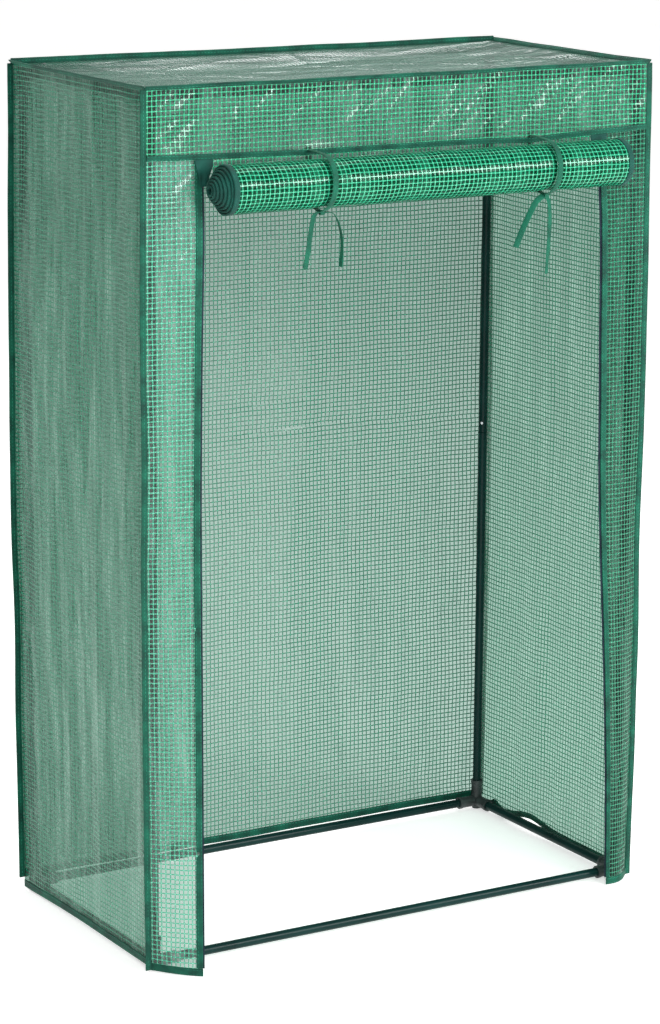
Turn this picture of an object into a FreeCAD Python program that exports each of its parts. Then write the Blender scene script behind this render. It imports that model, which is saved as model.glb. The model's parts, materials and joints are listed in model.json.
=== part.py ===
"""A tomato house: a push-fit steel tube frame under a sewn cover of grid film.

The front of the cover has a door panel that is rolled up and held by two pairs of tie tapes.
Millimetres. +X is to the right, -Y to the front and +Z up. The ground is at z = 0, and the
origin is in the middle of the footprint, the rolled door included.
"""

import FreeCAD, Part
import math
import os

import Sketcher
from FreeCAD import Placement, Rotation, Vector

SIZES = (
    ("cover_width", 984, "outside of the side panels"),
    ("cover_depth", 492, "outside of the front and back panels"),
    ("cover_height", 1492, "ground to the outside of the roof panel"),
    ("film", 0.5, "film thickness, with its crinkle"),
    ("tube_dia", 16, "frame tube, outside"),
    ("tube_wall", 0.8, "frame tube wall"),
    ("sleeve_dia", 21, "connector sleeve, outside"),
    ("sleeve_reach", 42, "connector centre to the sleeve's mouth"),
    ("collar_dia", 23, "bead round the sleeve's mouth"),
    ("collar_length", 6, "length of that bead"),
    ("socket_stop", 13, "connector centre to the bottom of its socket"),
    ("socket_play", 0.1, "radial play of a tube in its socket"),
    ("end_play", 0.2, "tube end to what it stops on"),
    ("foot_dia", 17, "foot under each base connector"),
    ("foot_height", 4.5, "ground to the underside of the sleeves"),
    ("joint_height", 750, "ground to the joint in each upright"),
    ("neck_length", 1.5, "taper from the tube to its swaged end"),
    ("swage_length", 36, "swaged end inside the tube above"),
    ("swage_play", 0.1, "radial play of the swaged end"),
    ("button_dia", 5, "snap button"),
    ("button_play", 0.15, "radial play of the button in its holes"),
    ("button_proud", 1.5, "button beyond the tube"),
    ("button_head_dia", 6.2, "head of the button inside the tube"),
    ("button_head", 0.8, "thickness of that head"),
    ("strip_width", 100, "front strips beside the door"),
    ("panel_drop", 110, "depth of the front top panel"),
    ("side_hem", 10, "ground to the side panels"),
    ("back_hem", 27, "ground to the back panel"),
    ("strip_hem", 6, "ground to the front strips"),
    ("tape_width", 12, "binding tape, folded over an edge"),
    ("tape_thick", 1, "one leg of a folded tape"),
    ("tape_fold", 1, "tape beyond the edge that it binds"),
    ("tape_gap", 0.05, "film to the tape round it"),
    ("fastener_width", 18, "hook and loop tape"),
    ("fastener_thick", 1.5, "hook and loop tape"),
    ("fastener_proud", 5, "hook and loop tape beyond the strip's edge"),
    ("piping_reach", 8, "corner and roof seams, standing out"),
    ("piping_thick", 1.8, "corner and roof seams"),
    ("seam_width", 8, "piping under the front top panel"),
    ("seam_proud", 3.5, "that piping, in front of the film"),
    ("seat_gap", 0.3, "pieces that lie on each other"),
    ("door_gap", 2.5, "front strips to the door film"),
    ("door_width", 812, "door panel with its side tapes"),
    ("door_tape", 34, "side tape of the door"),
    ("roll_dia", 90, "rolled door"),
    ("roll_wall", 9, "the roll's turns, pressed together"),
    ("roll_left", 378, "left end of the roll, from the middle"),
    ("roll_right", 394, "right end of the roll, from the middle"),
    ("core_reach", 28, "left side tape, wound out into a cone"),
    ("core_dia", 26, "narrow end of that cone"),
    ("rim_reach", 12, "right side tape on the roll"),
    ("tie_width", 10, "tie tape"),
    ("tie_thick", 1, "tie tape"),
    ("tie_left", 190, "left ties, from the middle"),
    ("tie_right", 250, "right ties, from the middle"),
    ("knot_dia", 13, "knot under the roll"),
    ("left_front_tail", 86, "hanging end of the left front tie"),
    ("left_back_tail", 84, "hanging end of the left back tie"),
    ("right_front_tail", 126, "hanging end of the right front tie"),
    ("right_back_tail", 72, "hanging end of the right back tie"),
)

doc = FreeCAD.newDocument("tomato_house")
sheet = doc.addObject("Spreadsheet::Sheet", "Sizes")
for row, (alias, number, meaning) in enumerate(SIZES, 1):
    sheet.set(f"A{row}", alias)
    sheet.set(f"B{row}", str(number))
    sheet.set(f"C{row}", meaning)
    sheet.setAlias(f"B{row}", alias)
doc.recompute()

subparts = []


def size(*words):
    """An expression: the words, with each size's name turned into its cell."""
    names = {alias for alias, _, _ in SIZES}
    parts = " ".join(words).replace("(", " ( ").replace(")", " ) ").split()
    return "(" + " ".join(f"Sizes.{word}" if word in names else word for word in parts) + ")"


def value(text):
    return float(sheet.evalExpression(text))


# Places that several pieces share, as expressions.
ZERO = "0"
HALF_WIDTH = size("cover_width / 2")
INSIDE_WIDTH = size("cover_width / 2 - film")
MID_Y = size(
    "( door_gap + film + seat_gap + roll_dia + seat_gap + tie_thick - tape_thick ) / 2"
)
FRONT_Y = size(f"{MID_Y} - cover_depth / 2")
BACK_Y = size(f"{MID_Y} + cover_depth / 2")
FRONT_IN = size(f"{FRONT_Y} + film")
BACK_IN = size(f"{BACK_Y} - film")
UNDER_ROOF = size("cover_height - film")
EDGE_CLEAR = "film + tape_thick + seat_gap + collar_dia / 2"
CORNER_X = size(f"cover_width / 2 - ( {EDGE_CLEAR} )")
CORNER_Y = size(f"cover_depth / 2 - ( {EDGE_CLEAR} )")
BASE_Z = size("foot_height + sleeve_dia / 2")
TOP_Z = size(f"{UNDER_ROOF} - seat_gap - collar_dia / 2")
TUBE_END = size("socket_stop + end_play")
TUBE_OUT = size("tube_dia / 2")
TUBE_IN = size("tube_dia / 2 - tube_wall")
SEAM_Z = size("cover_height - panel_drop")
UNDER_SEAM = size(f"{SEAM_Z} - seam_width / 2 - seat_gap")
STRIP_EDGE = size("cover_width / 2 - strip_width")
DOOR_Y = size(f"{FRONT_Y} - door_gap - film")
ROLL_Y = size(f"{DOOR_Y} - seat_gap - roll_dia / 2")
ROLL_Z = size(f"{UNDER_SEAM} - tie_thick - seat_gap - roll_dia / 2")


def place(item, x=None, y=None, z=None, turn=None):
    """Puts a piece at three expressions, with a fixed turn of its own."""
    if turn is not None:
        item.Placement = Placement(Vector(0, 0, 0), turn)
    for axis, text in (("x", x), ("y", y), ("z", z)):
        if text is not None:
            item.setExpression(f"Placement.Base.{axis}", text)
    return item


def primitive(kind, name, **sizes):
    item = doc.addObject(f"Part::{kind}", name)
    for key, text in sizes.items():
        item.setExpression(key, text)
    return item


def box(name, low, high):
    """A box between two corners, each three expressions."""
    spans = [size(f"{top} - {bottom}") for bottom, top in zip(low, high)]
    item = primitive("Box", name, Length=spans[0], Width=spans[1], Height=spans[2])
    return place(item, *low)


def cylinder(name, radius, length):
    return primitive("Cylinder", name, Radius=radius, Height=length)


def fuse(name, items):
    item = doc.addObject("Part::MultiFuse", name)
    item.Shapes = items
    return item


def cut(name, base, tool):
    item = doc.addObject("Part::Cut", name)
    item.Base = base
    item.Tool = tool
    return item


def ring(name, inner, outer, length):
    """A hollow cylinder along Z, between two radii."""
    return cut(name, cylinder(f"{name}_out", outer, length), cylinder(f"{name}_in", inner, length))


def subpart(item, label):
    item.Label = label
    subparts.append(item)
    return item


def turned(name, profile):
    """A body turned about Z: the profile is a loop of (radius, height) expressions."""
    body = doc.addObject("PartDesign::Body", name)
    plane = next(p for p in body.Origin.OriginFeatures if p.Role == "XZ_Plane")
    sketch = body.newObject("Sketcher::SketchObject", f"{name}_profile")
    sketch.AttachmentSupport = (plane, [""])
    sketch.MapMode = "FlatFace"
    points = [Vector(value(radius), value(height), 0) for radius, height in profile]
    count = len(points)
    for index, point in enumerate(points):
        sketch.addGeometry(Part.LineSegment(point, points[(index + 1) % count]), False)
    for index in range(count):
        after = (index + 1) % count
        sketch.addConstraint(Sketcher.Constraint("Coincident", index, 2, after, 1))
    for index, (radius, height) in enumerate(profile):
        for way, text in (("DistanceX", radius), ("DistanceY", height)):
            measure = Sketcher.Constraint(way, -1, 1, index, 1, value(text))
            number = sketch.addConstraint(measure)
            sketch.setExpression(f"Constraints[{number}]", text)
    doc.recompute()
    solid = body.newObject("PartDesign::Revolution", f"{name}_turned")
    solid.Profile = sketch
    solid.ReferenceAxis = (sketch, ["V_Axis"])
    solid.Angle = 360
    body.Tip = solid
    return body


def tube(name, length):
    """A plain length of frame tube along Z."""
    loop = ((TUBE_IN, ZERO), (TUBE_OUT, ZERO), (TUBE_OUT, length), (TUBE_IN, length))
    return turned(name, loop)


ALONG_X = Rotation(Vector(0, 0, 1), Vector(1, 0, 0))
ALONG_Y = Rotation(Vector(0, 0, 1), Vector(0, 1, 0))
CORNERS = (
    ("front_left", -1, -1, 0),
    ("front_right", 1, -1, 90),
    ("back_right", 1, 1, 180),
    ("back_left", -1, 1, 270),
)


def corner_x(side):
    return size(f"{side} * {CORNER_X}")


def corner_y(side):
    return size(f"{MID_Y} + {side} * {CORNER_Y}")


def corner_connector(label, foot):
    """A moulded three-way connector with its sleeves along local X, Y and Z."""
    solids = [primitive("Sphere", f"{label}_hub", Radius=size("sleeve_dia / 2"))]
    sockets = []
    ways = (("x", ALONG_X), ("y", ALONG_Y), ("z", Rotation()))
    for axis, turn in ways:
        arm = cylinder(f"{label}_arm_{axis}", size("sleeve_dia / 2"), size("sleeve_reach"))
        bead = cylinder(f"{label}_bead_{axis}", size("collar_dia / 2"), size("collar_length"))
        hole = cylinder(
            f"{label}_hole_{axis}", size("tube_dia / 2 + socket_play"), size("sleeve_reach")
        )
        place(arm, turn=turn)
        place(bead, turn=turn, **{axis: size("sleeve_reach - collar_length")})
        place(hole, turn=turn, **{axis: size("socket_stop")})
        solids += [arm, bead]
        sockets.append(hole)
    if foot:
        stem = cylinder(f"{label}_foot", size("foot_dia / 2"), BASE_Z)
        solids.append(place(stem, z=size(f"0 - {BASE_Z}")))
    shell = fuse(f"{label}_shell", solids)
    return cut(f"{label}_connector", shell, fuse(f"{label}_sockets", sockets))


def frame_corners():
    for where, side_x, side_y, angle in CORNERS:
        base = corner_connector(f"base_{where}", foot=True)
        turn = Rotation(Vector(0, 0, 1), angle)
        place(base, corner_x(side_x), corner_y(side_y), BASE_Z, turn)
        subpart(base, f"base_corner_{where}")
        top = corner_connector(f"top_{where}", foot=False)
        upside_down = Rotation(Vector(0, 0, 1), angle + 90).multiply(
            Rotation(Vector(1, 0, 0), 180)
        )
        place(top, corner_x(side_x), corner_y(side_y), TOP_Z, upside_down)
        subpart(top, f"top_corner_{where}")


def level_tubes():
    length_x = size(f"2 * ( {CORNER_X} - {TUBE_END} )")
    length_y = size(f"2 * ( {CORNER_Y} - {TUBE_END} )")
    start_x = size(f"{TUBE_END} - {CORNER_X}")
    start_y = size(f"{MID_Y} + {TUBE_END} - {CORNER_Y}")
    for level, height in (("base", BASE_Z), ("top", TOP_Z)):
        for where, side in (("front", -1), ("back", 1)):
            rail = tube(f"{level}_{where}_rail", length_x)
            place(rail, start_x, corner_y(side), height, ALONG_X)
            subpart(rail, f"{level}_tube_{where}")
        for where, side in (("left", -1), ("right", 1)):
            rail = tube(f"{level}_{where}_rail", length_y)
            place(rail, corner_x(side), start_y, height, ALONG_Y)
            subpart(rail, f"{level}_tube_{where}")


def uprights():
    """Each upright is two tubes: the lower one's swaged end fits in the upper one."""
    swage_out = size(f"{TUBE_IN} - swage_play")
    swage_in = size(f"{TUBE_IN} - swage_play - tube_wall")
    low_start = size(f"{BASE_Z} + {TUBE_END}")
    shoulder = size(f"joint_height - {low_start}")
    neck = size(f"{shoulder} + neck_length")
    tip = size(f"{neck} + swage_length")
    swaged = (
        (TUBE_IN, ZERO),
        (TUBE_OUT, ZERO),
        (TUBE_OUT, shoulder),
        (swage_out, neck),
        (swage_out, tip),
        (swage_in, tip),
        (swage_in, neck),
        (TUBE_IN, shoulder),
    )
    high_start = size("joint_height + neck_length + end_play")
    high_length = size(f"{TOP_Z} - {TUBE_END} - {high_start}")
    button_z = size("joint_height + neck_length + swage_length / 2")
    head_at = size(f"{swage_in} - button_head - button_play * 8")
    button_length = size(f"{TUBE_OUT} + button_proud - {head_at}")
    buttons = []
    for where, side_x, side_y, angle in CORNERS:
        inward = Rotation(Vector(0, 0, 1), angle + 45).multiply(ALONG_X)
        spot = (corner_x(side_x), corner_y(side_y), button_z)
        low = turned(f"low_{where}", swaged)
        high = tube(f"high_{where}", high_length)
        for half, start, label in (
            (low, low_start, f"lower_upright_{where}"),
            (high, high_start, f"upper_upright_{where}"),
        ):
            place(half, corner_x(side_x), corner_y(side_y), start)
            drill = cylinder(f"{label}_drill", size("button_dia / 2 + button_play"), TUBE_OUT)
            place(drill, *spot, inward)
            subpart(cut(f"{label}_drilled", half, drill), label)
        shank = cylinder(f"shank_{where}", size("button_dia / 2"), button_length)
        head = cylinder(f"head_{where}", size("button_head_dia / 2"), size("button_head"))
        for piece in (shank, head):
            place(piece, z=head_at)
        button = fuse(f"button_{where}", [shank, head])
        buttons.append(place(button, *spot, inward))
    group = doc.addObject("Part::Compound", "buttons")
    group.Links = buttons
    subpart(group, "snap_buttons")


def panels():
    """The cover's film, one solid for each sewn panel."""
    left, right = size(f"0 - {HALF_WIDTH}"), HALF_WIDTH
    inside_left = size(f"0 - {INSIDE_WIDTH}")
    edge_left, edge_right = size(f"0 - {STRIP_EDGE}"), STRIP_EDGE
    top = size("cover_height")
    side_low, back_low, strip_low = size("side_hem"), size("back_hem"), size("strip_hem")
    sheets = (
        ("roof_panel", (left, FRONT_Y, UNDER_ROOF), (right, BACK_Y, top)),
        ("back_panel", (left, BACK_IN, back_low), (right, BACK_Y, UNDER_ROOF)),
        ("left_side_panel", (left, FRONT_IN, side_low), (inside_left, BACK_IN, UNDER_ROOF)),
        ("right_side_panel", (INSIDE_WIDTH, FRONT_IN, side_low), (right, BACK_IN, UNDER_ROOF)),
        ("front_top_panel", (left, FRONT_Y, SEAM_Z), (right, FRONT_IN, UNDER_ROOF)),
        ("left_front_strip", (left, FRONT_Y, strip_low), (edge_left, FRONT_IN, SEAM_Z)),
        ("right_front_strip", (edge_right, FRONT_Y, strip_low), (right, FRONT_IN, SEAM_Z)),
    )
    for name, low, high in sheets:
        subpart(box(f"{name}_sheet", low, high), name)


def folded_tape(name, low, high, slot_low, slot_high):
    """A tape folded over an edge: a bar with a slot for the film."""
    bar = box(f"{name}_bar", low, high)
    slot = box(f"{name}_slot", slot_low, slot_high)
    subpart(cut(f"{name}_folded", bar, slot), name)


def hem_tapes():
    """Tapes folded up over the lower edges."""
    out = "tape_thick"
    gap = "tape_gap"
    corner = size(f"{INSIDE_WIDTH} - {gap}")
    front_out, front_in = size(f"{FRONT_Y} - {out}"), size(f"{FRONT_IN} + {out}")
    slot_front, slot_back = size(f"{FRONT_Y} - {gap}"), size(f"{FRONT_IN} + {gap}")

    def levels(hem):
        return size(f"{hem} - tape_fold"), size(f"{hem} + tape_width"), size(f"{hem} - {gap}")

    low, high, floor = levels("back_hem")
    folded_tape(
        "back_hem_tape",
        (size(f"0 - {corner}"), size(f"{BACK_IN} - {out}"), low),
        (corner, size(f"{BACK_Y} + {out}"), high),
        (size(f"0 - {corner}"), size(f"{BACK_IN} - {gap}"), floor),
        (corner, size(f"{BACK_Y} + {gap}"), high),
    )
    low, high, floor = levels("side_hem")
    ends = size(f"{FRONT_IN} + tape_thick + {gap}"), size(f"{BACK_IN} - tape_thick - {gap}")
    for side, mirror in (("left", -1), ("right", 1)):
        xs = [size(f"{mirror} * ( cover_width / 2 + {shift} )") for shift in (out, gap)]
        ins = [size(f"{mirror} * ( {INSIDE_WIDTH} - {shift} )") for shift in (out, gap)]
        spans = [pair if mirror < 0 else pair[::-1] for pair in zip(xs, ins)]
        folded_tape(
            f"{side}_hem_tape",
            (spans[0][0], ends[0], low),
            (spans[0][1], ends[1], high),
            (spans[1][0], ends[0], floor),
            (spans[1][1], ends[1], high),
        )
    low, high, floor = levels("strip_hem")
    for side, mirror in (("left", -1), ("right", 1)):
        span = [size(f"{mirror} * {x}") for x in (corner, size(f"{STRIP_EDGE} - tape_fold"))]
        first, last = span if mirror < 0 else span[::-1]
        folded_tape(
            f"{side}_strip_hem_tape",
            (first, front_out, low),
            (last, front_in, high),
            (first, slot_front, floor),
            (last, slot_back, high),
        )


def strip_edges():
    """The folded tape and the hook and loop tape on the inner edge of each front strip."""
    low = size("strip_hem + tape_width + seat_gap")
    back = size(f"{FRONT_IN} + tape_thick")
    for side, mirror in (("left", -1), ("right", 1)):

        def span(outer, inner):
            ends = [size(f"{mirror} * ( {STRIP_EDGE} + {x} )") for x in (outer, inner)]
            return ends if mirror < 0 else ends[::-1]

        first, last = span("tape_width - tape_fold", "0 - tape_fold")
        slot_first, slot_last = span("tape_width", "0 - tape_gap")
        folded_tape(
            f"{side}_strip_edge_tape",
            (first, size(f"{FRONT_Y} - tape_thick"), low),
            (last, back, UNDER_SEAM),
            (slot_first, size(f"{FRONT_Y} - tape_gap"), low),
            (slot_last, size(f"{FRONT_IN} + tape_gap"), UNDER_SEAM),
        )
        first, last = span("fastener_width - fastener_proud", "0 - fastener_proud")
        near = size(f"{back} + tape_gap")
        tape = box(
            f"{side}_fastener",
            (first, near, low),
            (last, size(f"{near} + fastener_thick"), UNDER_SEAM),
        )
        subpart(tape, f"{side}_fastener_tape")


def piping():
    """The bound seams that stand out along the corners, the roof and the front seam."""
    gap, half = "tape_gap", "piping_thick / 2"
    near, far = gap, size(f"{gap} + piping_reach")
    for where, side_x, side_y, _ in CORNERS:
        hem = "strip_hem" if side_y < 0 else "back_hem"
        plane = size(f"{MID_Y} + {side_y} * ( cover_depth - film ) / 2")
        ends = [size(f"{side_x} * ( cover_width / 2 + {x} )") for x in (near, far)]
        first, last = ends if side_x > 0 else ends[::-1]
        low = size(f"{hem} + tape_fold")
        high = size(f"{UNDER_ROOF} - {half} - {gap}")
        post = box(
            f"piping_{where}",
            (first, size(f"{plane} - {half}"), low),
            (last, size(f"{plane} + {half}"), high),
        )
        subpart(post, f"corner_piping_{where}")
    roof = size("cover_height - film / 2")
    low, high = size(f"{roof} - {half}"), size(f"{roof} + {half}")
    left, right = size(f"0 - {HALF_WIDTH}"), HALF_WIDTH
    front = (
        (left, size(f"{FRONT_Y} - {far}"), low),
        (right, size(f"{FRONT_Y} - {near}"), high),
    )
    back = (
        (left, size(f"{BACK_IN} + film / 2 - {half}"), size(f"cover_height + {near}")),
        (right, size(f"{BACK_IN} + film / 2 + {half}"), size(f"cover_height + {far}")),
    )
    subpart(box("front_roof_seam", *front), "roof_piping_front")
    subpart(box("back_roof_seam", *back), "roof_piping_back")
    for side, mirror in (("left", -1), ("right", 1)):
        ends = [size(f"{mirror} * ( cover_width / 2 + {x} )") for x in (near, far)]
        first, last = ends if mirror > 0 else ends[::-1]
        seam = box(f"{side}_roof_seam", (first, FRONT_Y, low), (last, BACK_Y, high))
        subpart(seam, f"roof_piping_{side}")
    seam = box(
        "front_seam",
        (left, size(f"{FRONT_Y} - seam_proud"), size(f"{SEAM_Z} - seam_width / 2")),
        (right, size(f"{FRONT_Y} - {gap}"), size(f"{SEAM_Z} + seam_width / 2")),
    )
    subpart(seam, "front_seam_piping")


def door():
    """The flat head of the door under the seam, and the roll with its side tapes."""
    door_back = size(f"{DOOR_Y} + film")
    tape_edge = size("door_width / 2 - door_tape")
    head_edge = size(f"{tape_edge} - tape_gap")
    head = box(
        "door_flat", (size(f"0 - {head_edge}"), DOOR_Y, ROLL_Z), (head_edge, door_back, UNDER_SEAM)
    )
    subpart(head, "door_head")
    outer = size("door_width / 2")
    tapes = []
    for side, mirror in (("left", -1), ("right", 1)):
        ends = [size(f"{mirror} * {x}") for x in (outer, tape_edge)]
        first, last = ends if mirror < 0 else ends[::-1]
        low, high = (first, DOOR_Y, ROLL_Z), (last, door_back, UNDER_SEAM)
        tapes.append(box(f"{side}_head_tape", low, high))
    group = doc.addObject("Part::Compound", "head_tapes")
    group.Links = tapes
    subpart(group, "door_head_tapes")
    turns = size("roll_dia / 2 - roll_wall"), size("roll_dia / 2")
    roll = ring("rolled_film", *turns, size("roll_left + roll_right"))
    place(roll, size("0 - roll_left"), ROLL_Y, ROLL_Z, ALONG_X)
    subpart(roll, "door_roll")
    cone = primitive(
        "Cone",
        "wound_out_tape",
        Radius1=size("core_dia / 2"),
        Radius2=size("roll_dia / 2"),
        Height=size("core_reach"),
    )
    place(cone, size("0 - roll_left - core_reach"), ROLL_Y, ROLL_Z, ALONG_X)
    subpart(cone, "door_left_edge_tape")
    rim = ring("rolled_tape", *turns, size("rim_reach"))
    place(rim, size("roll_right"), ROLL_Y, ROLL_Z, ALONG_X)
    subpart(rim, "door_right_edge_tape")


def tie_front(label, middle, tail):
    """The front tape: from the seam over the roll to the knot, and its hanging end."""
    first, last = size(f"{middle} - tie_width / 2"), size(f"{middle} + tie_width / 2")
    inner = size("roll_dia / 2 + seat_gap")
    outer = size(f"{inner} + tie_thick")
    hoop = place(ring(f"{label}_hoop", inner, outer, size("tie_width")), first, ROLL_Y, ROLL_Z, ALONG_X)
    span = size("roll_dia")
    rear = box(
        f"{label}_rear",
        (first, ROLL_Y, size(f"{ROLL_Z} - {span}")),
        (last, size(f"{ROLL_Y} + {span}"), size(f"{ROLL_Z} + {span}")),
    )
    half_hoop = cut(f"{label}_half", hoop, rear)
    strap = box(
        f"{label}_strap",
        (first, ROLL_Y, size(f"{ROLL_Z} + {inner}")),
        (last, size(f"{DOOR_Y} - seat_gap"), size(f"{ROLL_Z} + {outer}")),
    )
    bottom = size(f"{ROLL_Z} - {outer}")
    knot = primitive("Sphere", f"{label}_knot", Radius=size("knot_dia / 2"))
    place(knot, middle, ROLL_Y, size(f"{bottom} - knot_dia / 2 + tie_thick"))
    end = box(
        f"{label}_end",
        (first, size(f"{ROLL_Y} - tie_thick"), size(f"{bottom} - {tail}")),
        (last, ROLL_Y, size(f"{bottom} + tie_thick / 2")),
    )
    subpart(fuse(f"{label}_tape", [half_hoop, strap, knot, end]), label)


def tie_back(label, middle, tail):
    """The back tape: from the seam behind the door, under the roll, and its hanging end."""
    first, last = size(f"{middle} - tie_width / 2"), size(f"{middle} + tie_width / 2")
    near = size(f"{FRONT_IN} + seat_gap")
    inner = size(f"{near} - {ROLL_Y}")
    outer = size(f"{inner} + tie_thick")
    hoop = place(ring(f"{label}_hoop", inner, outer, size("tie_width")), first, ROLL_Y, ROLL_Z, ALONG_X)
    knot_edge = size(f"{ROLL_Y} + knot_dia / 2 + seat_gap")
    quarter = box(
        f"{label}_quarter",
        (first, knot_edge, size(f"{ROLL_Z} - {outer} * 2")),
        (last, size(f"{ROLL_Y} + {outer} * 2"), ROLL_Z),
    )
    bend = doc.addObject("Part::Common", f"{label}_bend")
    bend.Base = hoop
    bend.Tool = quarter
    strap = box(
        f"{label}_strap",
        (first, near, ROLL_Z),
        (last, size(f"{near} + tie_thick"), SEAM_Z),
    )
    depth = value(size(f"{knot_edge} - {ROLL_Y}"))
    rise = math.sqrt(value(inner) ** 2 - (depth + value(size("tie_thick"))) ** 2)
    top = size(f"{ROLL_Z} - {rise} + seat_gap")
    end = box(
        f"{label}_end",
        (first, knot_edge, size(f"{top} - {tail}")),
        (last, size(f"{knot_edge} + tie_thick"), size(f"{top} - seat_gap")),
    )
    subpart(fuse(f"{label}_tape", [bend, strap, end]), label)


def ties():
    left, right = size("0 - tie_left"), size("tie_right")
    tie_front("left_tie_front", left, size("left_front_tail"))
    tie_back("left_tie_back", left, size("left_back_tail"))
    tie_front("right_tie_front", right, size("right_front_tail"))
    tie_back("right_tie_back", right, size("right_back_tail"))


def check_and_export():
    """Refuses a failed feature or a bad shape, then writes one file for each sub-part."""
    for item in doc.Objects:
        bad = {"Invalid", "Error"} & set(item.State)
        if bad:
            raise RuntimeError(f"{item.Name} is {sorted(bad)}: {item.getStatusString()}")
    for item in subparts:
        if item.Shape.isNull() or not item.Shape.isValid() or not item.Shape.Solids:
            raise RuntimeError(f"{item.Label} has no valid solid")
    os.makedirs("parts", exist_ok=True)
    for item in subparts:
        item.Shape.exportStep(os.path.join("parts", f"{item.Label}.step"))


frame_corners()
level_tubes()
uprights()
panels()
hem_tapes()
strip_edges()
piping()
door()
ties()
doc.recompute()
check_and_export()
print(f"{len(subparts)} sub-parts")
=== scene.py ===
"""The looks of a tomato house: a tube frame under a sewn cover of grid film, its door rolled up."""

import json
import math
import random

import bpy
from mathutils import Matrix, Vector, noise

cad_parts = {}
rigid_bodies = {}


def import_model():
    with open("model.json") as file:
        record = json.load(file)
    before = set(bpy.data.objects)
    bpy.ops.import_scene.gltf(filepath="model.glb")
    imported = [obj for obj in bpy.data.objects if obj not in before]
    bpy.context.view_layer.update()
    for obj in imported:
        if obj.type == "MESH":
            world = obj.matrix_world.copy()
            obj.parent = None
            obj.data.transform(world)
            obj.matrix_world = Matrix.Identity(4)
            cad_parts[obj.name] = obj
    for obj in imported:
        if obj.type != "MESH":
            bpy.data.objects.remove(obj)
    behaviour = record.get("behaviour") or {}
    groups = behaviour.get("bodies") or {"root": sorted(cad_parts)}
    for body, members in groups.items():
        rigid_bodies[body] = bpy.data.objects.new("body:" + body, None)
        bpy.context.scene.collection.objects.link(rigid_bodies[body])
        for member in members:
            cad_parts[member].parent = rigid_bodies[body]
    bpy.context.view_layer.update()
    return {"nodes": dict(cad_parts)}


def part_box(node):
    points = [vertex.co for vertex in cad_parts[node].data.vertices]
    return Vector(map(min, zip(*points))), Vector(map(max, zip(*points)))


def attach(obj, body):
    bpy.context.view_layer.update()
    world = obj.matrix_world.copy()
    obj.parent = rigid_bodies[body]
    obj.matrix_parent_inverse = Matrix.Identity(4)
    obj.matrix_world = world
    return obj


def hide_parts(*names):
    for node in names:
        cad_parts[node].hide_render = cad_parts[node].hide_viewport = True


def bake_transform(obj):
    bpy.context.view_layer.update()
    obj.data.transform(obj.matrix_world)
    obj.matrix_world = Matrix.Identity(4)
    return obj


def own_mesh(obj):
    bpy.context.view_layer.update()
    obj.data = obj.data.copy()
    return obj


for leftover in list(bpy.data.objects):
    bpy.data.objects.remove(leftover)
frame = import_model()
bpy.ops.object.select_all(action="DESELECT")

MM = 0.001
HOUSE, CARRIAGE, ROLL = "greenhouse", "door_carriage", "door_roll"

# ---------------------------------------------------------------- places, from the frame

BOXES = {node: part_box(node) for node in frame["nodes"]}


def low(node):
    return BOXES[node][0]


def high(node):
    return BOXES[node][1]


def middle(node):
    return (low(node) + high(node)) / 2


LEFT_X = low("left_side_panel").x
RIGHT_X = high("right_side_panel").x
FRONT_Y = middle("front_top_panel").y
BACK_Y = middle("back_panel").y
ROOF_Z = middle("roof_panel").z
SEAM_Z = low("front_top_panel").z
SIDE_HEM = low("left_side_panel").z
BACK_HEM = low("back_panel").z
STRIP_HEM = low("left_front_strip").z
LEFT_EDGE = high("left_front_strip").x
RIGHT_EDGE = low("right_front_strip").x
MID_Y = (FRONT_Y + BACK_Y) / 2
HALF_X = RIGHT_X
HALF_Y = (BACK_Y - FRONT_Y) / 2
DOOR_Y = middle("door_head").y
DOOR_TOP = high("door_head").z
ROLL_Y = middle("door_roll").y
ROLL_Z = middle("door_roll").z
ROLL_R = (high("door_roll").z - low("door_roll").z) / 2
ROLL_LEFT = low("door_roll").x
ROLL_RIGHT = high("door_right_edge_tape").x

# ---------------------------------------------------------------- camera


def make_camera():
    """Stands to the front left, a little above the roof, and looks slightly down."""
    yaw, pitch, roll = math.radians(30.83), math.radians(13.12), math.radians(0.38)
    distance, slide, rise = 5.954, -0.001, 0.053
    target = Vector((0, MID_Y, 0.75))
    level = math.cos(pitch)
    back = Vector((-math.sin(yaw) * level, -math.cos(yaw) * level, math.sin(pitch)))
    turn = back.to_track_quat("Z", "Y").to_matrix() @ Matrix.Rotation(roll, 3, "Z")
    data = bpy.data.cameras.new("camera")
    data.lens, data.sensor_width = 117.7, 36
    camera = bpy.data.objects.new("camera", data)
    camera.matrix_world = Matrix.Translation(
        target + back * distance - turn @ Vector((slide, rise, 0))
    ) @ turn.to_4x4()
    bpy.context.scene.collection.objects.link(camera)
    bpy.context.scene.camera = camera


make_camera()

# ---------------------------------------------------------------- materials


def colour(code, alpha=1.0):
    """An sRGB hex value as the linear colour that a socket takes."""
    parts = [int(code[i : i + 2], 16) / 255 for i in (1, 3, 5)]
    linear = [c / 12.92 if c <= 0.04045 else ((c + 0.055) / 1.055) ** 2.4 for c in parts]
    return (*linear, alpha)


def add_node(tree, kind, links=None, values=None, **settings):
    """Adds a node, sets its properties and its sockets' values, and links its inputs."""
    node = tree.nodes.new(kind)
    for key, setting in settings.items():
        setattr(node, key, setting)
    for key, number in (values or {}).items():
        node.inputs[key].default_value = number
    for key, source in (links or {}).items():
        tree.links.new(source, node.inputs[key])
    return node


def maths(tree, operation, first, second=None, third=None):
    """A Math node between sockets or numbers, and its output."""
    node = tree.nodes.new("ShaderNodeMath")
    node.operation = operation
    for index, term in enumerate((first, second, third)):
        if term is None:
            continue
        if isinstance(term, (int, float)):
            node.inputs[index].default_value = term
        else:
            tree.links.new(term, node.inputs[index])
    return node.outputs[0]


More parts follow.
